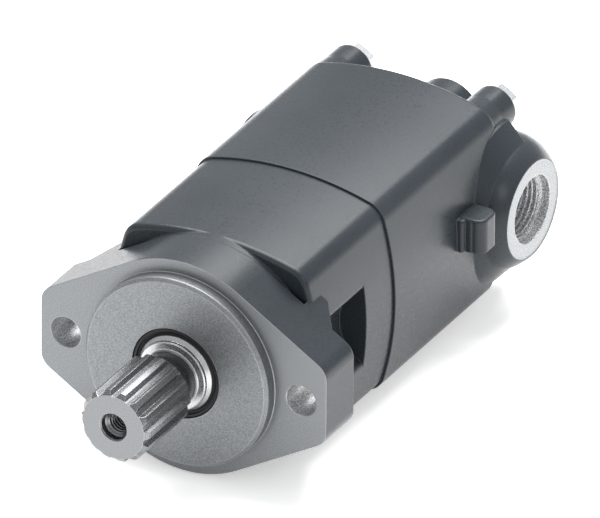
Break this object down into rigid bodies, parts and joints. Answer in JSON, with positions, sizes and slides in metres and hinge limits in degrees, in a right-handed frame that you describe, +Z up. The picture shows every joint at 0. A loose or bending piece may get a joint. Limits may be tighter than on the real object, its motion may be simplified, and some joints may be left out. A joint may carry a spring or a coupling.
{
  "type": "hydraulic motor",
  "caption": "Orbital hydraulic motor with a two-bolt pilot flange, splined output shaft, crowned square cast housings and side ports.",
  "frame": {"origin": "centre of the flange's mounting face, on the shaft axis", "axes": "+X along the flange ears, +Y along the shaft axis towards the rear of the motor, +Z up, so the output shaft points along -Y"},
  "size_m": [0.129, 0.2735, 0.0954],
  "materials": {
    "housing_paint": "satin dark grey paint over casting, bare machined flange face, pilot and port faces",
    "shaft_steel": "machined, lightly oiled",
    "seal_rubber": "matte black",
    "zinc_steel": "bright zinc plate",
    "ground_steel": "ground and hardened",
    "pressed_cage": "pressed sheet"
  },
  "bodies": {
    "housing": {"front_housing": "housing_paint", "rear_housing": "housing_paint", "dust_seal": "seal_rubber", "shaft_seal": "seal_rubber", "seal_washer": "ground_steel", "front_bearing_cup": "ground_steel", "rear_bearing_cup": "ground_steel", "wear_plate": "ground_steel", "stator_ring": "ground_steel", "valve_plate": "ground_steel", "balance_plate": "ground_steel", "balance_spring": "ground_steel", "balance_pins": "ground_steel", "balance_seal_inner": "seal_rubber", "balance_seal_outer": "seal_rubber", "housing_seal": "seal_rubber", "plate_seals": "seal_rubber", "housing_bolts": "zinc_steel", "drain_plug": "zinc_steel", "drain_plug_seal": "seal_rubber"},
    "shaft": {"output_shaft": "shaft_steel", "front_bearing_cone": "ground_steel", "rear_bearing_cone": "ground_steel", "bearing_spacer": "ground_steel", "bearing_nut": "ground_steel"},
    "front_cage": {"front_bearing_rollers": "ground_steel", "front_bearing_cage": "pressed_cage"},
    "rear_cage": {"rear_bearing_rollers": "ground_steel", "rear_bearing_cage": "pressed_cage"},
    "orbit": {"link_spacer": "ground_steel"},
    "star": {"rotor_star": "ground_steel"},
    "drive_link_body": {"drive_link": "ground_steel"},
    "valve_link_body": {"valve_link": "ground_steel"},
    "valve": {"disc_valve": "ground_steel"},
    "roller_1": {"stator_roller_1": "ground_steel"},
    "roller_2": {"stator_roller_2": "ground_steel"},
    "roller_3": {"stator_roller_3": "ground_steel"},
    "roller_4": {"stator_roller_4": "ground_steel"},
    "roller_5": {"stator_roller_5": "ground_steel"},
    "roller_6": {"stator_roller_6": "ground_steel"},
    "roller_7": {"stator_roller_7": "ground_steel"}
  },
  "joints": [
    {"name": "orbit_spin", "type": "hinge", "parent": "housing", "child": "orbit", "pos_m": [0, 0.106, 0], "axis": [0, -1, 0], "continuous": true},
    {"name": "shaft_spin", "type": "hinge", "parent": "housing", "child": "shaft", "pos_m": [0, 0, 0], "axis": [0, 1, 0], "continuous": true},
    {"name": "front_cage_spin", "type": "hinge", "parent": "housing", "child": "front_cage", "pos_m": [0, 0.02, 0], "axis": [0, 1, 0], "continuous": true},
    {"name": "rear_cage_spin", "type": "hinge", "parent": "housing", "child": "rear_cage", "pos_m": [0, 0.052, 0], "axis": [0, 1, 0], "continuous": true},
    {"name": "star_spin", "type": "hinge", "parent": "orbit", "child": "star", "pos_m": [0.0028, 0.104, 0], "axis": [0, 1, 0], "continuous": true},
    {"name": "drive_link_spin", "type": "hinge", "parent": "orbit", "child": "drive_link_body", "pos_m": [0, 0.043, 0], "axis": [0.0508, 0.9987, 0], "continuous": true},
    {"name": "valve_link_spin", "type": "hinge", "parent": "orbit", "child": "valve_link_body", "pos_m": [0, 0.138, 0], "axis": [-0.1091, 0.994, 0], "continuous": true},
    {"name": "valve_spin", "type": "hinge", "parent": "housing", "child": "valve", "pos_m": [0, 0.134, 0], "axis": [0, 1, 0], "continuous": true},
    {"name": "roller_1_spin", "type": "hinge", "parent": "housing", "child": "roller_1", "pos_m": [0.0295, 0.104, 0], "axis": [0, 1, 0], "continuous": true},
    {"name": "roller_2_spin", "type": "hinge", "parent": "housing", "child": "roller_2", "pos_m": [0.01839, 0.104, 0.02306], "axis": [0, 1, 0], "continuous": true},
    {"name": "roller_3_spin", "type": "hinge", "parent": "housing", "child": "roller_3", "pos_m": [-0.00656, 0.104, 0.02876], "axis": [0, 1, 0], "continuous": true},
    {"name": "roller_4_spin", "type": "hinge", "parent": "housing", "child": "roller_4", "pos_m": [-0.02658, 0.104, 0.0128], "axis": [0, 1, 0], "continuous": true},
    {"name": "roller_5_spin", "type": "hinge", "parent": "housing", "child": "roller_5", "pos_m": [-0.02658, 0.104, -0.0128], "axis": [0, 1, 0], "continuous": true},
    {"name": "roller_6_spin", "type": "hinge", "parent": "housing", "child": "roller_6", "pos_m": [-0.00656, 0.104, -0.02876], "axis": [0, 1, 0], "continuous": true},
    {"name": "roller_7_spin", "type": "hinge", "parent": "housing", "child": "roller_7", "pos_m": [0.01839, 0.104, -0.02306], "axis": [0, 1, 0], "continuous": true}
  ],
  "couplings": [
    {"joint": "shaft_spin", "follows": "orbit_spin", "ratio": 0.16667},
    {"joint": "front_cage_spin", "follows": "orbit_spin", "ratio": 0.073333},
    {"joint": "rear_cage_spin", "follows": "orbit_spin", "ratio": 0.073333},
    {"joint": "star_spin", "follows": "orbit_spin", "ratio": 1.1667},
    {"joint": "drive_link_spin", "follows": "orbit_spin", "ratio": 1.1667},
    {"joint": "valve_link_spin", "follows": "orbit_spin", "ratio": 1.1667},
    {"joint": "valve_spin", "follows": "orbit_spin", "ratio": 0.16667},
    {"joint": "roller_1_spin", "follows": "orbit_spin", "ratio": -0.58333},
    {"joint": "roller_2_spin", "follows": "orbit_spin", "ratio": -0.58333},
    {"joint": "roller_3_spin", "follows": "orbit_spin", "ratio": -0.58333},
    {"joint": "roller_4_spin", "follows": "orbit_spin", "ratio": -0.58333},
    {"joint": "roller_5_spin", "follows": "orbit_spin", "ratio": -0.58333},
    {"joint": "roller_6_spin", "follows": "orbit_spin", "ratio": -0.58333},
    {"joint": "roller_7_spin", "follows": "orbit_spin", "ratio": -0.58333}
  ]
}
